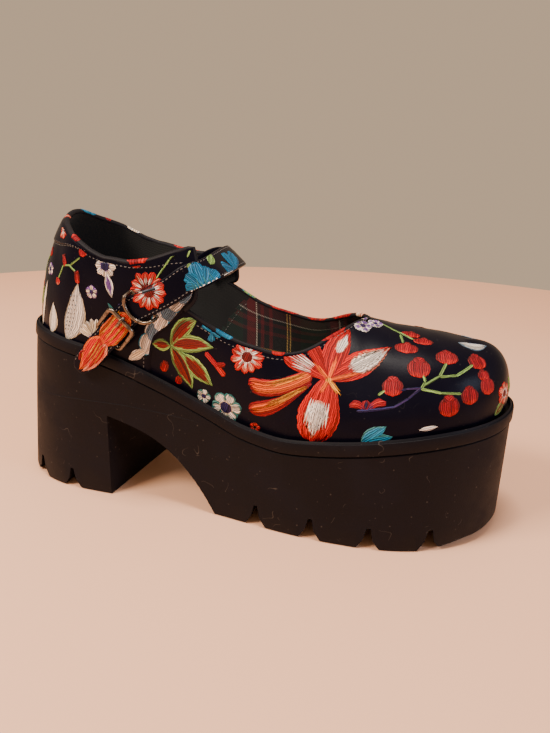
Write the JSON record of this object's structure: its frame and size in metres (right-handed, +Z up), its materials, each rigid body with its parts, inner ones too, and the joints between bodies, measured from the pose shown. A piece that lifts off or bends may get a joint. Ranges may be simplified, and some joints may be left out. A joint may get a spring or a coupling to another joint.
{
  "type": "platform shoe",
  "caption": "Chunky-heeled platform bar shoe for the right foot: cleated moulded sole, hollow low-cut upper with a raised quarter, instep strap woven through a small buckle.",
  "frame": {"origin": "on the floor, in the middle of the flat tread of the heel", "axes": "+X from the heel to the toe, +Y to the inner side of the foot, +Z up"},
  "size_m": [0.2687, 0.0947, 0.1467],
  "materials": {
    "sole_rubber": "matt, slightly dusty",
    "upper_leather": "smooth black with coloured embroidery",
    "insole_lining": "matt",
    "buckle_bronze": "darkened antique bronze"
  },
  "bodies": {
    "root": {"outsole": "sole_rubber", "insole": "insole_lining", "upper": "upper_leather", "strap": "upper_leather", "buckle_frame": "buckle_bronze", "buckle_prong": "buckle_bronze", "buckle_loop": "buckle_bronze", "buckle_tab": "upper_leather"}
  },
  "joints": []
}
